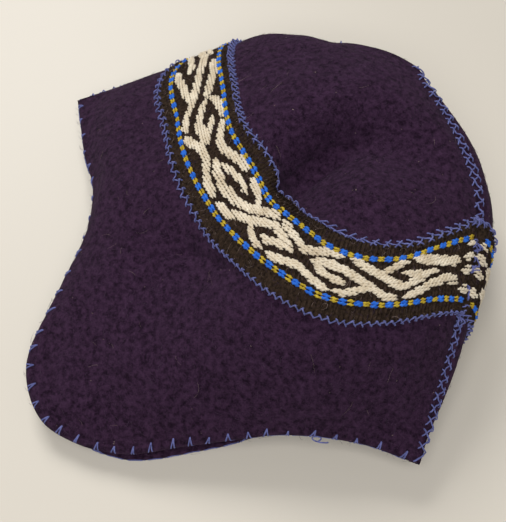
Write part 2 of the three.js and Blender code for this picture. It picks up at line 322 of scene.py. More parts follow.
def back_surface(s, t):
    """Back arch on its cut edge, joined to the front's top row and swollen at the crown end."""
    p = to_edge(back_arch(s, t), s, t, back_arch, BACK_EDGE)
    join = np.clip((t - 1 + END_JOIN) / END_JOIN, 0, 1) ** 2
    p = p + (front_surface(s, 0 * s + 1) - back_arch(s, 0 * s + 1)) * join[..., None]
    upward = np.clip((1 - t) / END_CURVE, 0, 1)
    arch = np.maximum(np.sin(np.pi * s), 0)
    p[..., 1] += END_SWELL * np.sin(np.pi * (1 - upward)) * arch ** END_ROUND
    p[..., 2] = np.maximum(p[..., 2], 0)
    return p


def surface_grid(surface, columns, rows):
    """Points of a panel at even steps of s and t, in the hat's own coordinates."""
    s, t = np.meshgrid(np.linspace(0, 1, columns + 1), np.linspace(0, 1, rows + 1))
    return surface(s, t) - MIDDLE


def unit(v):
    """Vectors divided by their lengths."""
    return v / np.maximum(np.linalg.norm(v, axis=-1, keepdims=True), 1e-12)


def grid_normals(grid, turn):
    """Cross product of the steps across and up the grid. The top corners, where both run
    along one seam, take their neighbour's."""
    normals = turn * unit(np.cross(np.gradient(grid, axis=1), np.gradient(grid, axis=0)))
    normals[-1, 0], normals[-1, -1] = normals[-2, 1], normals[-2, -2]
    return normals


def grid_faces(rows, columns, first=0, flip=False):
    """Quads of a grid of rows by columns points, numbered from the first."""
    at = first + np.arange(rows * columns).reshape(rows, columns)
    quads = np.stack([at[:-1, :-1], at[:-1, 1:], at[1:, 1:], at[1:, :-1]], -1).reshape(-1, 4)
    return quads[:, ::-1] if flip else quads


def wall_faces(rows, columns, flip=False):
    """Quads of a closed wall between an outer and an inner grid of the same size."""
    outer = np.arange(rows * columns).reshape(rows, columns)
    inner = outer + rows * columns
    rim = np.concatenate([outer[0, :-1], outer[:-1, -1], outer[-1, :0:-1], outer[:0:-1, 0]])
    rim_in = rim + rows * columns
    sides = np.stack([rim, rim_in, np.roll(rim_in, -1), np.roll(rim, -1)], -1)
    faces = np.concatenate([
        grid_faces(rows, columns), grid_faces(rows, columns, rows * columns, True), sides,
    ])
    return faces[:, ::-1] if flip else faces


def make_piece(name, points, faces, material, slot, replaces=()):
    """A mesh object from points in millimetres. faces is a list of arrays, each of faces with
    the same number of corners."""
    mesh = bpy.data.meshes.new(name)
    points = np.asarray(points).reshape(-1, 3) * MM
    corners = np.concatenate([part.ravel() for part in faces])
    sizes = np.concatenate([np.full(len(part), part.shape[1]) for part in faces])
    mesh.vertices.add(len(points))
    mesh.vertices.foreach_set("co", points.astype(np.float32).ravel())
    mesh.loops.add(len(corners))
    mesh.loops.foreach_set("vertex_index", corners.astype(np.int32))
    mesh.polygons.add(len(sizes))
    mesh.polygons.foreach_set("loop_start", (np.cumsum(sizes) - sizes).astype(np.int32))
    mesh.update(calc_edges=True)
    mesh.polygons.foreach_set("use_smooth", np.ones(len(sizes), bool))
    mesh.materials.append(material)
    piece = bpy.data.objects.new(name, mesh)
    bpy.context.scene.collection.objects.link(piece)
    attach(piece, "root")
    if replaces:
        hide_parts(*replaces)
    return piece


def wool_group():
    """Node group for the uneven look of wool: soft patches, then short fibres lying every way.
    It puts out a colour between the dark one and the light one, and a height for a Bump node."""
    group = bpy.data.node_groups.new("wool", "ShaderNodeTree")
    for name, kind, value in (
        ("Dark", "NodeSocketColor", (0, 0, 0, 1)), ("Light", "NodeSocketColor", (1, 1, 1, 1)),
        ("Patch Scale", "NodeSocketFloat", 90), ("Fibre Scale", "NodeSocketFloat", 700),
        ("Patchiness", "NodeSocketFloat", 0.5),
    ):
        group.interface.new_socket(name, in_out="INPUT", socket_type=kind).default_value = value
    group.interface.new_socket("Colour", in_out="OUTPUT", socket_type="NodeSocketColor")
    group.interface.new_socket("Height", in_out="OUTPUT", socket_type="NodeSocketFloat")
    nodes, links = group.nodes, group.links
    inputs, outputs = nodes.new("NodeGroupInput"), nodes.new("NodeGroupOutput")
    place = nodes.new("ShaderNodeTexCoord")
    patches, fibres = nodes.new("ShaderNodeTexNoise"), nodes.new("ShaderNodeTexNoise")
    patches.inputs["Detail"].default_value = 5
    patches.inputs["Roughness"].default_value = 0.65
    fibres.inputs["Detail"].default_value = 4
    fibres.inputs["Roughness"].default_value = 0.7
    fibres.inputs["Distortion"].default_value = 1.2
    for noise, scale in ((patches, "Patch Scale"), (fibres, "Fibre Scale")):
        links.new(place.outputs["Object"], noise.inputs["Vector"])
        links.new(inputs.outputs[scale], noise.inputs["Scale"])
    both = nodes.new("ShaderNodeMix")
    links.new(inputs.outputs["Patchiness"], both.inputs["Factor"])
    links.new(fibres.outputs["Fac"], both.inputs["A"])
    links.new(patches.outputs["Fac"], both.inputs["B"])
    spread = nodes.new("ShaderNodeMapRange")
    spread.inputs["From Min"].default_value = 0.39
    spread.inputs["From Max"].default_value = 0.61
    links.new(both.outputs["Result"], spread.inputs["Value"])
    colour = nodes.new("ShaderNodeMix")
    colour.data_type = "RGBA"
    links.new(spread.outputs["Result"], colour.inputs["Factor"])
    links.new(inputs.outputs["Dark"], colour.inputs[6])
    links.new(inputs.outputs["Light"], colour.inputs[7])
    links.new(colour.outputs[2], outputs.inputs["Colour"])
    links.new(both.outputs["Result"], outputs.inputs["Height"])
    return group


wool = wool_group()


def wool_material(name, dark, light, patch=90, fibre=700, patchiness=0.5, bump=0.4, depth=0.4,
                  sheen=0.0, tint=(1, 1, 1)):
    """A dull woollen finish. patch and fibre are the scales of its unevenness per metre, and
    depth is the height of its bumps in millimetres."""
    material = bpy.data.materials.new(name)
    material.use_nodes = True
    nodes, links = material.node_tree.nodes, material.node_tree.links
    shader = nodes["Principled BSDF"]
    shader.inputs["Roughness"].default_value = 0.95
    shader.inputs["Specular IOR Level"].default_value = 0.08
    shader.inputs["Sheen Weight"].default_value = sheen
    shader.inputs["Sheen Roughness"].default_value = 0.45
    shader.inputs["Sheen Tint"].default_value = (*tint, 1)
    uneven = nodes.new("ShaderNodeGroup")
    uneven.node_tree = wool
    uneven.inputs["Dark"].default_value = (*dark, 1)
    uneven.inputs["Light"].default_value = (*light, 1)
    uneven.inputs["Patch Scale"].default_value = patch
    uneven.inputs["Fibre Scale"].default_value = fibre
    uneven.inputs["Patchiness"].default_value = patchiness
    links.new(uneven.outputs["Colour"], shader.inputs["Base Color"])
    bumps = nodes.new("ShaderNodeBump")
    bumps.inputs["Strength"].default_value = bump
    bumps.inputs["Distance"].default_value = depth * MM
    links.new(uneven.outputs["Height"], bumps.inputs["Height"])
    links.new(bumps.outputs["Normal"], shader.inputs["Normal"])
    return material


felt = wool_material("aubergine_felt", (0.0085, 0.003, 0.0098), (0.046, 0.0205, 0.05),
                     patch=330, fibre=900, patchiness=0.6, bump=1.0, depth=1.6,
                     sheen=0.04, tint=(0.7, 0.5, 0.8))

# Unevenness of the wet-felted cloth: each row a wavelength and a height, in millimetres
UNEVEN = {"wave": [46, 25, 13, 7], "height": [0.34, 0.2, 0.12, 0.09]}
WAVES = 5                   # sine waves of each wavelength
CALM_SIDE, CALM_TOP = 25, 20            # how soon the unevenness sets in, away from the seams

# Wrinkles of the front, two deep and three short ones in the crown's hollow and two in the dent:
# middle, length, direction in degrees, depth and width
WRINKLE = {
    "x": [4, 5, 2, 12, 9, 14, -4], "y": [38, 62, 64, 78, 30, -25, -30],
    "long": [20, 15, 8, 7, 12, 11, 9], "turn": [96, 82, 60, 85, 110, 10, 28],
    "deep": [6.5, 4.5, 1.2, 1, 2, 2.2, 1.8], "wide": [4.6, 4.4, 2.2, 2.4, 2.6, 2.4, 2.2],
}
WRINKLED_ABOVE = 30         # height of the felt from which it is wrinkled
COLUMNS, ROWS = 220, 190    # steps across and up a panel
EDGE_ROUND, EDGE_INNER = (0.9, 0.3, 0.1), 0.6   # rounding of a cut edge's outer rows and inner row


def felt_relief(p):
    """Height of the felt's unevenness at points: for each wavelength, a sum of sine waves that
    run in seeded directions."""
    chance = np.random.default_rng(11)
    height = np.zeros(p.shape[:-1])
    for wave, high in zip(UNEVEN["wave"], UNEVEN["height"]):
        for _ in range(WAVES):
            ahead = unit(chance.normal(size=3)) * 2 * np.pi / wave
            height += high / 2 * np.sin(p @ ahead + chance.uniform(0, 2 * np.pi))
    return height


def wrinkles(p):
    """Depth of the wrinkles at points seen from above: a bell across each and along it."""
    depth = np.zeros(p.shape[:-1])
    for x, y, long, turn, deep, wide in zip(*WRINKLE.values()):
        turn = math.radians(turn)
        right, up = p[..., 0] - x, p[..., 1] - y
        along = right * math.cos(turn) + up * math.sin(turn)
        across = up * math.cos(turn) - right * math.sin(turn)
        depth += deep * np.exp(-((along / long) ** 2) - (across / wide) ** 2)
    return depth * (p[..., 2] > WRINKLED_ABOVE)


# A side is a panel's surface and the way its outer face looks, up or down
front_side, back_side = (front_surface, 1), (back_surface, -1)


def slopes(side, s, t):
    """How far a panel's point moves per unit of s and of t, from small steps both ways."""
    step = 1e-3
    inside = np.clip(s, step, 1 - step)
    across = side[0](inside + step, t) - side[0](inside - step, t)
    up = side[0](inside, t + step) - side[0](inside, t - step)
    return across / (2 * step), up / (2 * step)


def roughness(side, s, t, p):
    """Unevenness less wrinkles, faded out at the seams."""
    fade = smooth(np.minimum(s, 1 - s) * CALM_SIDE) * smooth((1 - t) * CALM_TOP)
    return fade * (felt_relief(p) - wrinkles(p) * (side[1] > 0))


def laid(side, s, t, out):
    """Points some way out from a panel's uneven felt, never below the counter, and the
    normals there."""
    across, up = slopes(side, s, t)
    normal = side[1] * unit(np.cross(across, up))
    p = side[0](s, t) - MIDDLE
    p = p + normal * (roughness(side, s, t, p) + out)[..., None]
    p[..., 2] = np.maximum(p[..., 2], 0)
    return p, normal


front = surface_grid(front_surface, COLUMNS, ROWS)
back = surface_grid(back_surface, COLUMNS, ROWS)
front_normals, back_normals = grid_normals(front, 1), grid_normals(back, -1)
front_inner = front - FELT * front_normals
back_inner = back - FELT * back_normals


def mitre(edge, near):
    """Parts both panels along one seam: the edge rows stop on the mitre between the walls, and
    inner points beside the seam stay on their own side of it. edge and near index the rows of
    points on the seam and of the points a few steps away from it."""
    seam = front[edge].copy()
    normal = unit(front_normals[edge] + back_normals[edge])
    reach = FELT * np.minimum(
        1 / np.maximum((normal * front_normals[edge]).sum(-1), 1e-3), SEAM_REACH)
    apart = unit(front[near[0]] - back[near[0]])
    inside = seam - normal * reach[:, None]
    front[edge], back[edge] = seam + apart * GAP / 2, seam - apart * GAP / 2
    front_inner[edge], back_inner[edge] = inside + apart * GAP / 2, inside - apart * GAP / 2
    for line in near:
        under = ((front_inner[line] - front_inner[edge]) * apart).sum(-1)
        front_inner[line] += apart * np.maximum(-under, 0)[:, None]
        above = ((back_inner[line] - back_inner[edge]) * apart).sum(-1)
        back_inner[line] -= apart * np.maximum(above, 0)[:, None]


every, steps_away = slice(None), range(1, 8)
mitre((every, 0), [(every, k) for k in steps_away])
mitre((every, -1), [(every, -1 - k) for k in steps_away])
mitre((-1, every), [(-1 - k, every) for k in steps_away])

# Outer faces take the felt's unevenness, and the cut edge is rounded over a few rows
grid_s, grid_t = np.meshgrid(np.linspace(0, 1, COLUMNS + 1), np.linspace(0, 1, ROWS + 1))
for side, outer, inner, normals in (
    (front_side, front, front_inner, front_normals), (back_side, back, back_inner, back_normals),
):
    outer += normals * roughness(side, grid_s, grid_t, outer)[..., None]
    for row, pulled in enumerate(EDGE_ROUND):
        outer[row] -= normals[row] * pulled
    inner[0] += normals[0] * EDGE_INNER
    outer[..., 2] = np.maximum(outer[..., 2], 0)

front_felt = make_piece(
    "front_felt", np.concatenate([front, front_inner]),
    [wall_faces(ROWS + 1, COLUMNS + 1)], felt, "felt", ["front_panel"])
back_felt = make_piece(
    "back_felt", np.concatenate([back, back_inner]),
    [wall_faces(ROWS + 1, COLUMNS + 1, True)], felt, "felt", ["back_panel"])


# Fibres of the felt.
# Loose wool fibres stand off the felt's face and blur its outline, and some pale hairs and bits
# of lint have been felted in with them.

TIP_CAP = 0.6               # length of a yarn's blunt tip, in its radii
ROOT, TAPER = 0.05, 0.6     # depth of a hair's root, and share of its thickness lost by its tip
OVERHANG = -0.01            # height up a panel down to which hairs hang over its cut edge


def yarns(path, normal, radius, counts, sides, plies=0, ply_depth=0.0, twist=0.0):
    """Closed tubes along paths stacked in one array, where counts gives each path's number of
    points. The radius swells by ply_depth as cos(plies times the angle), and that section
    turns by twist radians each millimetre, as plied yarn does."""
    ends = np.cumsum(counts)
    starts = ends - counts
    owner = np.repeat(np.arange(len(counts)), counts)
    at = np.arange(len(path))
    before, after = np.maximum(at - 1, starts[owner]), np.minimum(at + 1, ends[owner] - 1)
    ahead = unit(path[after] - path[before])
    aside = unit(np.cross(ahead, normal))
    up = np.cross(aside, ahead)
    run = np.cumsum(np.linalg.norm(path - path[before], axis=-1))
    angle = np.linspace(0, 2 * np.pi, sides, endpoint=False)
    swell = 1 + ply_depth * np.cos(plies * (angle - twist * run[:, None]))
    section = np.cos(angle)[:, None] * aside[:, None] + np.sin(angle)[:, None] * up[:, None]
    rings = path[:, None] + (radius[:, None] * swell)[..., None] * section
    poles = np.concatenate([
        path[starts] - ahead[starts] * radius[starts, None] * TIP_CAP,
        path[ends - 1] + ahead[ends - 1] * radius[ends - 1, None] * TIP_CAP,
    ])
    k = np.arange(sides)
    n = (k + 1) % sides
    ring = np.setdiff1d(at, ends - 1)[:, None] * sides
    quads = np.stack([ring + k, ring + sides + k, ring + sides + n, ring + n], -1)
    tip = len(path) * sides + np.arange(len(counts))[:, None] + 0 * k
    first, last = starts[:, None] * sides, (ends[:, None] - 1) * sides
    caps = np.concatenate([
        np.stack([tip, first + k, first + n], -1),
        np.stack([tip + len(counts), last + n, last + k], -1),
    ])
    points = np.concatenate([rings.reshape(-1, 3), poles])
    points[:, 2] = np.maximum(points[:, 2], 0)
    return points, [quads.reshape(-1, 4), caps.reshape(-1, 3)]


def step_off(side, s, t, along, inward):
    """The s and t some millimetres along a row of a panel and some square to it, measured on
    the surface at the start."""
    across, up = slopes(side, s, t)
    skew = (up * unit(across)).sum(-1)
    rise = np.linalg.norm(up - skew[..., None] * unit(across), axis=-1)
    further_up = inward / rise
    return s + (along - skew * further_up) / np.linalg.norm(across, axis=-1), t + further_up


def scattered(grid, count, chance):
    """Random places, equally thick over the area of a panel's grid and kept off its edges."""
    area = np.linalg.norm(np.cross(np.gradient(grid, axis=1), np.gradient(grid, axis=0)), axis=-1)
    cell = chance.choice(area.size, count, p=area.ravel() / area.sum())
    jitter = chance.uniform(-0.5, 0.5, (2, count))
    s = (cell % (COLUMNS + 1) + jitter[0]) / COLUMNS
    t = (cell // (COLUMNS + 1) + jitter[1]) / ROWS
    return np.clip(s, 0.004, 0.996), np.clip(t, 0.002, 0.998)


def fibres(name, side, s, t, hair, slot, seed):
    """Thin hairs from places on a panel. Each runs in a seeded direction, bends steadily, and
    rises along its length as a quarter sine. hair is a row of a table: ranges of length, lift
    and thickness in millimetres, points along it, bend in radians and material."""
    chance = np.random.default_rng(seed)
    count, points = len(s), hair["points"]
    q = np.linspace(0, 1, points)
    heading = chance.uniform(0, 2 * np.pi, (count, 1))
    heading = heading + chance.normal(0, hair["curl"], (count, 1)) * q
    stride = chance.uniform(*hair["long"], (count, 1)) / (points - 1)
    along = np.cumsum(stride * np.cos(heading), axis=1)
    inward = np.cumsum(stride * np.sin(heading), axis=1)
    s, t = step_off(side, np.repeat(s[:, None], points, 1), np.repeat(t[:, None], points, 1),
                    along, inward)
    lift = chance.uniform(*hair["lift"], (count, 1))
    out = over_band(s, t) + lift * np.sin(np.pi / 2 * q) - ROOT
    path, normal = laid(side, np.clip(s, 0, 1), np.clip(t, OVERHANG, 1), out)
    radius = np.repeat(chance.uniform(*hair["thick"], count) / 2, points)
    radius = radius * np.tile(1 - TAPER * q, count)
    mesh = yarns(path.reshape(-1, 3), normal.reshape(-1, 3), radius,
                 np.full(count, points), sides=3)
    make_piece(name, *mesh, hair["material"], slot)


BAND = 1.8                  # thickness of the band
BAND_WIDTH = 46.0           # width of band that its yarns are charted on
YARNS = 34                  # yarns across the band
BORDER = 7 / YARNS          # share of the width from each edge to the middle of the checks
BAND_SOFT = 0.004           # height up a panel over which the band's edge lifts what crosses it

# Lines along the band as heights up a panel: its foot, its lower and upper checks, and its head,
# which swing a little from seam to seam
BAND_PATH = {
    "s": [0, 0.2, 0.3, 0.4, 0.5, 0.57, 0.65, 0.75, 0.85, 0.93, 1],
    "foot": [0.41, 0.418, 0.435, 0.434, 0.443, 0.443, 0.43, 0.422, 0.436, 0.446, 0.443],
    "low": [0.445, 0.454, 0.466, 0.467, 0.479, 0.485, 0.484, 0.472, 0.475, 0.478, 0.467],
    "high": [0.534, 0.547, 0.559, 0.56, 0.572, 0.573, 0.582, 0.564, 0.558, 0.571, 0.575],
    "head": [0.56, 0.573, 0.583, 0.589, 0.615, 0.617, 0.622, 0.598, 0.587, 0.6, 0.613],
}


def band_edge(which, s):
    """Height up a panel of one of the band's lines, on its smooth curve."""
    return curve(BAND_PATH["s"], BAND_PATH[which], np.clip(s, 0, 1))


def band_height(s, w):
    """Height up a panel of a place on the band, whose w goes from the foot, 0, to the head, 1:
    straight lines from foot to lower checks to upper checks to head."""
    foot, low, high, head = (band_edge(which, s) for which in ("foot", "low", "high", "head"))
    outer = np.clip(np.stack([w, 1 - w]) / BORDER, 0, 1)
    middle = np.clip((w - BORDER) / (1 - 2 * BORDER), 0, 1)
    return mix(foot, low, outer[0]) + (high - low) * middle + (head - high) * (1 - outer[1])


def over_band(s, t):
    """Thickness of the band where it covers a panel, and nought beside it."""
    above = smooth((t - band_edge("foot", s)) / BAND_SOFT)
    below = smooth((band_edge("head", s) - t) / BAND_SOFT)
    return (GAP + BAND) * (above * below)


fuzz = wool_material("felt_fuzz", (0.02, 0.009, 0.022), (0.06, 0.032, 0.068), fibre=300, bump=0,
                     sheen=0.1, tint=(0.8, 0.7, 0.85))
pale_hair = wool_material("pale_hair", (0.1, 0.06, 0.06), (0.42, 0.33, 0.3), patch=60, bump=0)

# What lies loose on each panel: number, ranges of length, lift and thickness, points along each,
# and how far it bends
LOOSE = {
    "felt_fibres": {"count": 3600, "long": (1.5, 4.5), "lift": (0.1, 0.9), "thick": (0.1, 0.2),
                    "points": 5, "curl": 1.6, "material": fuzz, "seed": 10},
    "pale_hairs": {"count": 55, "long": (2, 11), "lift": (0.1, 0.5), "thick": (0.06, 0.14),
                   "points": 8, "curl": 1.2, "material": pale_hair, "seed": 20},
    "lint": {"count": 60, "long": (0.4, 0.9), "lift": (0.1, 0.3), "thick": (0.2, 0.5),
             "points": 4, "curl": 1.6, "material": pale_hair, "seed": 30},
}

for name, side, grid, seed in (("front", front_side, front, 21), ("back", back_side, back, 22)):
    chance = np.random.default_rng(seed)
    for kind, hair in LOOSE.items():
        s, t = scattered(grid, hair["count"], chance)
        fibres(f"{name}_{kind}", side, s, t, hair, "felt", seed + hair["seed"])


# Woven band.
# A hand-woven wool band, 42 to 46 mm wide, laid round the hat in two halves that meet at the
# side seams. Its ground is dark brown, ribbed across, with a border outside each line of checks.

BAND_ROWS, BAND_COLUMNS = 46, 900       # points across and along the band's ground
RIB, RIB_HIGH = 2.2, 0.8    # millimetres from one rib of the ground to the next, and height
BAND_ROUND = 1.2            # millimetres over which its two edges are rounded

ground = wool_material("dark_wool_weave", (0.003, 0.0018, 0.0012), (0.05, 0.032, 0.022),
                       patch=600, fibre=1400, patchiness=0.5, bump=0.9, depth=0.7)


def on_band(side, s, w, out):
    """Points on the band and their normals: w goes from its foot, 0, to its head, 1, and out
    is millimetres above its back."""
    return laid(side, s, band_height(s, w), GAP + out)


def band_run(side):
    """Places from seam to seam, and how many millimetres along the band's middle each is."""
    s = np.linspace(0, 1, 1201)
    p, _ = on_band(side, s, 0 * s + 0.5, 0 * s + BAND)
    return s, np.concatenate([[0], np.cumsum(np.linalg.norm(np.diff(p, axis=0), axis=1))])


def make_band(name, side, node):
    """The ground's upper face is a sine along the band, which makes ribs across it, and falls
    to its two edges as a square root."""
    s, w = np.meshgrid(np.linspace(0, 1, BAND_COLUMNS), np.linspace(0, 1, BAND_ROWS))
    along = np.interp(s, *band_run(side))
    rib = 0.5 + 0.5 * np.sin(2 * np.pi * along / RIB)
    rounded = np.sqrt(np.clip(np.minimum(w, 1 - w) * BAND_WIDTH / BAND_ROUND, 0.05, 1))
    outer, _ = on_band(side, s, w, BAND * rounded - RIB_HIGH + RIB_HIGH * rib)
    inner, _ = on_band(side, s, w, 0 * s)
    return make_piece(name, np.concatenate([outer, inner]),
                      [wall_faces(BAND_ROWS, BAND_COLUMNS, side[1] < 0)], ground, "band", [node])


front_band = make_band("front_band_ground", front_side, "band_front")
back_band = make_band("back_band_ground", back_side, "band_back")


# Pattern of the band.
# Cream yarns float over the ground in strokes that curl like rams' horns, and a line of blue
# and yellow checks, two yarns wide, runs along each side of them. All are plied wool.

# Strokes of the figure: breadth in millimetres, and the middle line as millimetres along the
# band from its left end and the share of its width up from its foot
FIGURE = [
    (2.6, [(5, .41), (10, .49), (15, .55), (20, .6), (25, .64), (31, .69)]),
    (4.4, [(0, .19), (5, .28), (10, .37), (15, .45), (20, .49), (25, .55), (30, .6), (35, .61),
        (40, .6), (45, .58), (50, .56), (55, .54), (60, .51), (65, .48), (70, .44), (74, .39),
        (78, .34), (81, .31), (85, .29), (90, .3)]),
    (3.4, [(8, .16), (11, .22), (15, .27), (20, .34), (25, .39), (30, .43), (35, .45),
        (40, .45), (45, .44)]),
    (2.6, [(20, .15), (25, .2), (31, .24)]),
    (4.1, [(36, .28), (40, .3), (45, .31), (50, .34), (55, .36), (60, .37), (65, .39), (70, .4)]),
    (4.8, [(40, .72), (45, .72), (50, .72), (55, .72), (60, .69), (65, .65), (70, .62), (75, .6)]),
    (4, [(75, .64), (78, .67), (80, .69), (85, .72), (90, .74), (97, .74)]),
    (4.4, [(75, .57), (80, .52), (85, .49), (90, .46), (95, .47), (100, .48), (105, .5),
        (109, .52)]),
    (4, [(91, .62), (95, .62), (100, .57), (105, .53)]),
    (4.5, [(99, .73), (103, .72), (107, .68), (111, .64), (115, .62), (120, .65), (125, .68),
        (130, .71), (135, .72), (140, .74)]),
    (4.5, [(92, .27), (95, .29), (100, .33), (105, .4), (110, .43), (115, .43), (120, .38),
        (125, .33), (130, .3), (137, .3)]),
    (4.4, [(119, .5), (125, .47), (130, .45), (135, .43), (140, .44), (145, .45), (151, .48),
        (155, .51), (160, .56), (165, .62), (170, .68), (175, .72), (180, .73)]),
    (3.3, [(124, .53), (130, .57), (135, .59), (140, .61), (145, .61), (151, .6)]),
    (4, [(145, .73), (151, .73), (155, .73), (160, .69), (165, .62), (168, .58)]),
    (4.5, [(140, .29), (145, .3), (151, .32), (155, .38), (160, .42), (165, .48), (170, .53),
        (175, .59), (180, .63), (184, .6), (187, .57), (195, .5)]),
    (3.8, [(175, .44), (180, .43), (184, .47), (190, .5), (194, .5)]),
    (4.4, [(165, .46), (170, .36), (174, .32), (179, .31)]),
    (4.2, [(182, .72), (185, .7), (190, .67), (195, .64), (200, .6), (205, .65), (210, .71),
        (215, .75), (220, .75)]),
    (4.4, [(182, .3), (185, .31), (190, .33), (195, .37), (200, .4), (205, .37), (210, .33),
        (217, .3)]),
    (4.4, [(205, .53), (210, .58), (215, .62), (220, .61), (225, .58), (230, .52), (235, .46),
        (240, .38), (245, .3), (251, .29)]),
    (3.8, [(207, .52), (210, .49), (215, .47), (220, .46), (224, .44)]),
    (4.1, [(219, .32), (225, .32), (230, .38), (235, .42), (238, .43)]),
    (4.5, [(223, .77), (225, .76), (230, .71), (235, .65), (240, .6), (245, .52), (250, .44),
        (255, .43), (260, .47), (268, .5)]),
    (4.2, [(240, .62), (245, .66), (250, .73), (254, .72)]),
    (3.6, [(251, .61), (255, .59), (260, .54), (265, .53), (273, .52)]),
    (4.8, [(257, .75), (260, .73), (265, .68), (270, .65), (275, .62), (280, .6), (285, .59),
        (287, .58)]),
    (4.4, [(254, .28), (260, .32), (265, .35), (270, .39), (275, .41), (280, .42), (285, .39),
        (288, .35)]),
    (3.3, [(290, .31), (299, .3)]),
    (3.4, [(289, .48), (299, .49)]),
    (3.4, [(289, .6), (298, .61)]),
    (2.8, [(290, .73), (298, .72)]),
]
FIGURE_LENGTH = 299.0       # length of band that the strokes are charted on
FIGURE_STEP = 0.25          # length of band between the places where they are looked up
TIP, TIP_LEAST = 5.0, 0.35  # millimetres over which a stroke's tip narrows, and to what share
FIELD = range(8, 26)        # yarns between the two lines of checks
SHORTEST = 1.5              # shortest float of the figure
RAGGED_START, RAGGED_END = (-0.5, 0.3), (-0.3, 0.5)     # how far a float's two ends stray
SEAM_CLEAR = 0.3            # length of band at a seam that floats keep off

# Lines of checks: the two yarns of each, where each begins, the length of either colour, how
# far a check overlaps the next and how far it strays
CHECKS = {"yarns": [(6, 7), (26, 27)], "first": [0.5, 3.0], "blue": 4.1, "yellow": 3.5,
          "overlap": 0.3, "stray": (-0.25, 0.25)}

# Floating yarns: thickness, millimetres between points and over which one comes up out of the
# ground, how deep and how thin its ends are in thicknesses, and how unlike its neighbours it is
FLOAT = {"figure": 1.5, "blue": 1.6, "yellow": 1.3, "step": 0.6, "dive": 1.6, "sunk": 0.3,
         "thin": 0.45, "drift": 0.1, "lift": (-0.08, 0.12), "uneven": (0.92, 1.08)}
TWO_PLY = {"sides": 10, "plies": 2, "ply_depth": 0.42, "twist": 2 * np.pi / 4.6}


def figure_covers(u, w):
    """Where a stroke covers the ground: nearer to its middle line than half its breadth."""
    covered = np.zeros(u.shape, bool)
    for breadth, line in FIGURE:
        line = np.array(line, float) * [1, BAND_WIDTH]
        step = np.diff(line, axis=0)
        size = np.linalg.norm(step, axis=1)
        start = np.cumsum(size) - size
        for a, d, long, before in zip(line, step, size, start):
            share = np.clip(((u - a[0]) * d[0] + (w * BAND_WIDTH - a[1]) * d[1]) / long**2, 0, 1)
            away = np.hypot(u - a[0] - share * d[0], w * BAND_WIDTH - a[1] - share * d[1])
            at = before + share * long
            tip = np.minimum(1, TIP_LEAST + np.minimum(at, size.sum() - at) / TIP)
            covered |= away < breadth / 2 * tip
    return covered


def floats(name, side, spans, yarn_row, thick, material, seed):
    """Plied yarns on top of the ground. Each row of spans is where one dives out of the ground
    and back, in millimetres along the band, and yarn_row is the yarn that it lies on."""
    chance = np.random.default_rng(seed)
    places, run = band_run(side)
    counts = np.round((spans[:, 1] - spans[:, 0]) / FLOAT["step"]).astype(int) + 1
    counts = np.maximum(4, counts)
    owner = np.repeat(np.arange(len(counts)), counts)
    q = (np.arange(len(owner)) - (np.cumsum(counts) - counts)[owner]) / (counts[owner] - 1)
    s = np.interp(mix(spans[owner, 0], spans[owner, 1], q), run, places)
    drift = chance.normal(0, FLOAT["drift"], len(counts))[owner]
    w = (yarn_row[owner] + 0.5 + drift) / YARNS
    from_end = np.minimum(q, 1 - q) * (spans[owner, 1] - spans[owner, 0])
    full = smooth(from_end / FLOAT["dive"])
    lift = chance.uniform(*FLOAT["lift"], len(counts))[owner]
    rise = FLOAT["sunk"] * full - FLOAT["sunk"]
    path, normal = on_band(side, s, w, BAND + thick * rise + lift)
    uneven = chance.uniform(*FLOAT["uneven"], len(counts))[owner]
    radius = thick / 2 * mix(FLOAT["thin"], 1.0, full) * uneven
    make_piece(name, *yarns(path, normal, radius, counts, **TWO_PLY), material, "band")


cream = wool_material("cream_wool", (0.52, 0.43, 0.3), (0.78, 0.71, 0.58), patch=110, fibre=900,
                      bump=0.5, depth=0.3, sheen=0.15)
blue = wool_material("blue_wool", (0.012, 0.08, 0.42), (0.04, 0.19, 0.74), patch=500, fibre=1500,
                     bump=0.5, depth=0.3)
yellow = wool_material("yellow_wool", (0.3, 0.2, 0.015), (0.58, 0.44, 0.05), patch=500,
                       fibre=1500, bump=0.5, depth=0.3)
BAND_HAIRS = {"count": 420, "long": (1.5, 6), "lift": (0.2, 1.0), "thick": (0.08, 0.16),
              "points": 6, "curl": 2.5, "material": pale_hair}

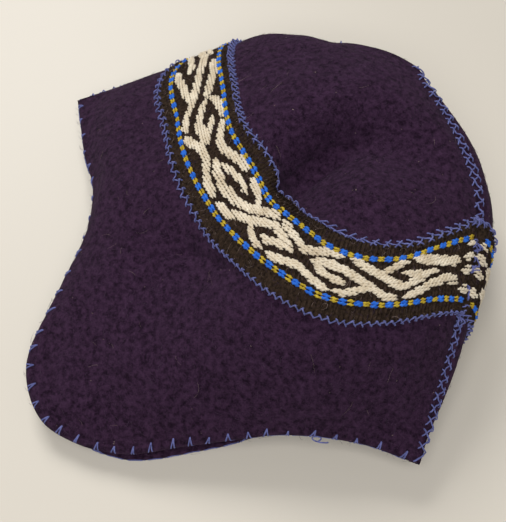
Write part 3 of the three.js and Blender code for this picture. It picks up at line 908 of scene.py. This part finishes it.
for name, side, seed in (("front", front_side, 41), ("back", back_side, 42)):
    chance = np.random.default_rng(seed)
    length = band_run(side)[1][-1]
    spans, rows = [], []
    u = np.arange(0, FIGURE_LENGTH, FIGURE_STEP)
    for row in FIELD:
        covered = figure_covers(u, np.full(u.shape, (row + 0.5) / YARNS)).astype(int)
        edges = np.diff(np.concatenate([[0], covered, [0]]))
        starts, ends = np.flatnonzero(edges > 0), np.flatnonzero(edges < 0) - 1
        for a, b in zip(u[starts], u[ends]):
            if b - a > SHORTEST:
                spans.append((a + chance.uniform(*RAGGED_START), b + chance.uniform(*RAGGED_END)))
                rows.append(row)
    spans = np.clip(np.array(spans), SEAM_CLEAR, FIGURE_LENGTH - SEAM_CLEAR)
    spans = spans * length / FIGURE_LENGTH
    floats(f"{name}_band_figure", side, spans, np.array(rows), FLOAT["figure"], cream, seed + 10)
    pitch = CHECKS["blue"] + CHECKS["yellow"]
    for colour, material, shift in (("blue", blue, 0), ("yellow", yellow, CHECKS["blue"])):
        spans, rows = [], []
        for pair, first in zip(CHECKS["yarns"], CHECKS["first"]):
            starts = np.arange(first + shift, length - pitch, pitch)
            starts = starts + chance.uniform(*CHECKS["stray"], len(starts))
            for row in pair:
                spans.append(np.stack([starts, starts + CHECKS[colour] + CHECKS["overlap"]], -1))
                rows.append(np.full(len(starts), row))
        floats(f"{name}_band_{colour}", side, np.concatenate(spans), np.concatenate(rows),
               FLOAT[colour], material, seed + 20)
    count = BAND_HAIRS["count"]
    s, w = chance.uniform(0.01, 0.99, count), chance.uniform(0.02, 0.98, count)
    fibres(f"{name}_band_hairs", side, s, band_height(s, w), BAND_HAIRS, "band", seed + 30)


# Stitches.
# Everything is sewn by hand with a soft periwinkle thread of three plies: a herringbone over
# both edges of the band and over the seams, and a blanket stitch round the two cut edges.

thread = wool_material("periwinkle_thread", (0.06, 0.068, 0.19), (0.16, 0.175, 0.42), patch=400,
                       fibre=2000, bump=0.4, depth=0.2, sheen=0.1)
THREAD = 0.8                # thickness of the thread
THREE_PLY = {"sides": 7, "plies": 3, "ply_depth": 0.12, "twist": 2.2}
LEG_POINTS = 9
LEG_SUNK, LEG_STEEP = 0.5, 2.5          # how deep a leg's ends dive, and how steeply
THREAD_UNEVEN = (0.85, 1.1)             # thickness of one stitch over that of the thread


def spaced(side, edge, knots, pitches):
    """Places along an edge of a panel, spaced by the pitch that the table gives there."""
    s = np.linspace(0, 1, 1501)
    run = np.linalg.norm(np.diff(side[0](s, edge(s)), axis=0), axis=1)
    number = np.concatenate([[0], np.cumsum(run / np.interp(s[1:], knots, pitches))])
    return np.interp(np.arange(0.5, number[-1]), number, s)


def leg(start, end, rise, bow=0.0):
    """Along, inward and out of the points of straight stitches. A sine, cut off at rise, lifts
    them between two sunken ends. start and end are columns of along and inward."""
    q = np.linspace(0, 1, LEG_POINTS)
    start, end = np.asarray(start, float)[..., None], np.asarray(end, float)[..., None]
    along = mix(start[..., 0, :], end[..., 0, :], q)
    inward = mix(start[..., 1, :], end[..., 1, :], q)
    out = -LEG_SUNK + (LEG_SUNK + rise) * np.minimum(1, LEG_STEEP * np.sin(np.pi * q))
    return along + bow * np.sin(np.pi * q), inward, np.broadcast_to(out, along.shape)


def sewn(name, paths, seed):
    """One piece from stitches, each an array of paths and one of normals."""
    path = np.concatenate([p.reshape(-1, 3) for p, _ in paths])
    normal = np.concatenate([n.reshape(-1, 3) for _, n in paths])
    counts = np.concatenate([np.full(len(p), p.shape[1]) for p, _ in paths])
    chance = np.random.default_rng(seed)
    radius = np.repeat(THREAD / 2 * chance.uniform(*THREAD_UNEVEN, len(counts)), counts)
    make_piece(name, *yarns(path, normal, radius, counts, **THREE_PLY), thread, "thread")


def on_panel(side, s, t, along, inward, out):
    """Points and normals of stitches that start from places on a panel."""
    at_s, at_t = step_off(side, s[:, None] + 0 * along, t[:, None] + 0 * along, along, inward)
    return laid(side, at_s, at_t, out + over_band(at_s, at_t))


# Blanket stitch: a V of two legs over the edge, and the thread that runs from V to V along it
RIM_STITCH = {"s": [0, 0.35, 0.45, 0.55, 0.7, 1], "pitch": [12.5, 12, 9.8, 10.5, 9.5, 12.5]}
V_LONG, V_OPEN, V_RISE = 3.3, 2.2, 0.35
V_FOOT = -0.1               # its feet are this far out over the cut edge
WRAP, WRAP_DOWN, WRAP_UP = 0.9, -1.6, 1.9   # within this of the edge, legs go down and round it
RUN_SHARES = (0.16, 0.84)   # where the thread along the edge leaves one V and reaches the next
RUN_OUT, RUN_SAG = -1.5, 0.6            # how far down the cut edge it lies, and sags
RUN_SLACK = (-0.2, 0.25)    # how far it bows in or out of its line

# How far a V strays: its place, and its apex and feet along the edge and inward of it
V_STRAY = {"place": 0.0012, "apex_along": 0.5, "apex_inward": 0.6, "foot": 0.3}

# A loose end that curls beside the cut edge near the right corner: its place, turns in radians,
# the size of its curl, how far each radian carries it along, and its place beyond the edge
LOOSE_END = {"s": 0.835, "from": -0.6, "to": 5.6, "wide": 3.4, "drift": 0.8, "tall": 1.5,
             "inward": -0.6, "lift": 0.3}

for name, side, seed in (("front", front_side, 51), ("back", back_side, 52)):
    chance = np.random.default_rng(seed)
    s = spaced(side, lambda s: 0 * s, RIM_STITCH["s"], RIM_STITCH["pitch"])
    s = s + chance.normal(0, V_STRAY["place"], len(s))
    t = 0 * s
    paths = []
    apex = np.stack([chance.normal(0, V_STRAY["apex_along"], len(s)),
                     V_LONG + chance.normal(0, V_STRAY["apex_inward"], len(s))], -1)
    for way in (-1, 1):
        foot = np.stack([way * V_OPEN / 2 + chance.normal(0, V_STRAY["foot"], len(s)),
                         np.full(len(s), V_FOOT)], -1)
        along, inward, out = leg(foot, apex, V_RISE)
        wrapped = WRAP_DOWN + WRAP_UP * smooth(inward + 0.2)
        paths.append(on_panel(side, s, t, along, inward, np.where(inward < WRAP, wrapped, out)))
    number = np.arange(len(s))
    ends = [np.interp(number[:-1] + share, number, s) for share in RUN_SHARES]
    q = np.linspace(0, 1, 14)
    along_s = mix(ends[0][:, None], ends[1][:, None], q)
    slack = chance.uniform(*RUN_SLACK, (len(along_s), 1))
    at_s, at_t = step_off(side, along_s, 0 * along_s, 0 * along_s,
                          V_FOOT - slack * np.sin(np.pi * q))
    paths.append(laid(side, at_s, at_t, RUN_OUT - RUN_SAG * np.sin(np.pi * q) + 0 * at_s))
    if name == "front":
        turn = np.linspace(LOOSE_END["from"], LOOSE_END["to"], 18)[None]
        at_s, at_t = step_off(side, 0 * turn + LOOSE_END["s"], 0 * turn,
                              LOOSE_END["wide"] * np.cos(turn) + LOOSE_END["drift"] * turn,
                              LOOSE_END["inward"] + LOOSE_END["tall"] * np.sin(turn))
        paths.append(laid(side, at_s, at_t, 0 * turn + LOOSE_END["lift"]))
    sewn(f"{name}_rim_stitch", [(p.reshape(len(p), -1, 3), n) for p, n in paths], seed)


# Herringbone over the band's two edges. felt and band are how far its legs reach from the edge,
# split is the share of the pitch that the first leg takes, and cross is how far legs overlap.
EDGE_STITCH = {
    "head": {
        "s": [0, 0.38, 0.5, 1],
        "pitch": [4.2, 4.2, 5.6, 6.2],
        "felt": [1.6, 1.6, 1.8, 2.0],
        "band": [1.6, 1.6, 2.0, 2.0],
        "split": [0.5, 0.5, 0.66, 0.7],
        "cross": [0.8, 0.8, 1.5, 1.8],
    },
    "foot": {
        "s": [0, 0.42, 0.55, 1],
        "pitch": [6.0, 6.0, 4.2, 3.6],
        "felt": [2.2, 2.2, 0.9, 0.7],
        "band": [2.3, 2.3, 1.3, 1.0],
        "split": [0.56, 0.56, 0.6, 0.6],
        "cross": [0.5, 0.5, 0.3, 0.3],
    },
}
RISE_UNDER, RISE_OVER = 0.45, 1.1       # how far the lower and the upper legs stand up
UNSTEADY = 0.22             # how far the hand's placing of each end strays


def herringbone(lay, place, pitch, near, far, split, cross, chance):
    """Legs that zigzag between the lines near and far, and run past each other by cross."""
    count = len(place)
    jitter = chance.normal(0, UNSTEADY, (8, count))
    paths = []
    for start, end, rise, k in (
        ((-cross, near), (split * pitch + cross, far), RISE_UNDER, 0),
        ((split * pitch - cross, far), (pitch + cross, near), RISE_OVER, 4),
    ):
        a = np.stack([start[0] + jitter[k], start[1] + jitter[k + 1]], -1)
        b = np.stack([end[0] + jitter[k + 2], end[1] + jitter[k + 3]], -1)
        paths.append(lay(*leg(a, b, rise)))
    return paths


for name, side, seed in (("front", front_side, 61), ("back", back_side, 62)):
    chance = np.random.default_rng(seed)
    paths = []
    for which, table in EDGE_STITCH.items():
        edge = lambda s, which=which: band_edge(which, s)
        s = spaced(side, edge, table["s"], table["pitch"])
        pitch, on_felt, over, split, cross = (
            np.interp(s, table["s"], table[column])
            for column in ("pitch", "felt", "band", "split", "cross"))
        inward = 1 if which == "head" else -1
        paths += herringbone(
            lambda along, up, out: on_panel(side, s, edge(s), along, up, out),
            s, pitch, inward * on_felt, -inward * over, split, cross, chance)
    sewn(f"{name}_band_stitch", paths, seed)


# Seam stitches: spacing, how far legs run past each other, how far they reach to the front and
# to the back of each seam, where they begin and end on it, and the width over which they turn
SEAM_PITCH, SEAM_CROSS = 6.3, 2.0
SEAM_REACH_OUT = {"left": (0.6, -5.4), "right": (3.2, -2.6), "crown": (0.3, -5.5)}
SEAM_BEGIN, SEAM_END = 3, 5
SEAM_TURN = 4
BAND_LOW, BAND_HIGH = FOOT - 0.02, HEAD + 0.01      # heights of the band's two ends at a seam

# Stray legs, in every direction, that darn the two ends of the band together: number, ranges
# of their middle's place across the seam and of half their length, rise, bow and further lift
STRAY = {"count": 26, "across": (-2.5, 3.5), "reach": (1.5, 3.6), "rise": 0.7, "bow": 0.5,
         "lift": (0, 0.5)}


def over_seam(seam, at, along, lateral, out):
    """Points and normals beside a seam: lateral millimetres to the front of it, or to the back
    where that is below nought. The seam is left, right or crown, and at is the place on it."""
    laid_on = []
    for side in (front_side, back_side):
        s = at if seam == "crown" else 0 * at + (seam == "right")
        t = 0 * at + 1 if seam == "crown" else at
        across, up = slopes(side, s, t)
        run, into = {"crown": (across, -up), "left": (up, across), "right": (up, -across)}[seam]
        skew = (into * unit(run)).sum(-1)
        reach = np.abs(lateral) / np.linalg.norm(into - skew[..., None] * unit(run), axis=-1)
        move = (along - skew * reach) / np.linalg.norm(run, axis=-1)
        if seam == "crown":
            s, t = s + move, t - reach
        else:
            s, t = s + reach * (1 if seam == "left" else -1), t + move
        s = np.clip(s, 0, 1)
        laid_on.append(laid(side, s, t, over_band(s, t)))
    share = smooth(lateral / SEAM_TURN + 0.5)[..., None]
    normal = unit(mix(laid_on[1][1], laid_on[0][1], share))
    point_on = np.where((lateral >= 0)[..., None], laid_on[0][0], laid_on[1][0])
    return point_on + normal * out[..., None], normal


for seam, seed in (("left", 71), ("right", 72), ("crown", 73)):
    chance = np.random.default_rng(seed)
    at = np.linspace(0, 1, 1001)
    line = front_surface(at, 0 * at + 1) if seam == "crown" else front_surface(
        0 * at + (seam == "right"), at)
    run = np.concatenate([[0], np.cumsum(np.linalg.norm(np.diff(line, axis=0), axis=1))])
    place = np.interp(np.arange(SEAM_BEGIN, run[-1] - SEAM_END, SEAM_PITCH), run, at)
    if seam != "crown":
        place = place[(place < BAND_LOW) | (place > HEAD)]
    near, far = (np.full(len(place), reach) for reach in SEAM_REACH_OUT[seam])
    paths = herringbone(
        lambda along, up, out: over_seam(seam, place[:, None] + 0 * along, along, up, out),
        place, SEAM_PITCH, near, far, 0.5, SEAM_CROSS, chance)
    if seam != "crown":
        count = STRAY["count"]
        place = chance.uniform(BAND_LOW, BAND_HIGH, count)
        lateral = chance.uniform(*STRAY["across"], count)
        turn, reach = chance.uniform(0, np.pi, count), chance.uniform(*STRAY["reach"], count)
        arm = np.stack([reach * np.sin(turn), reach * np.cos(turn)], -1)
        middle = np.stack([0 * lateral, lateral], -1)
        along, up, out = leg(middle - arm, middle + arm, STRAY["rise"], STRAY["bow"])
        out = out + chance.uniform(*STRAY["lift"], (count, 1))
        paths.append(over_seam(seam, place[:, None] + 0 * along, along, up, out))
    sewn(f"{seam}_seam_stitch", paths, seed)
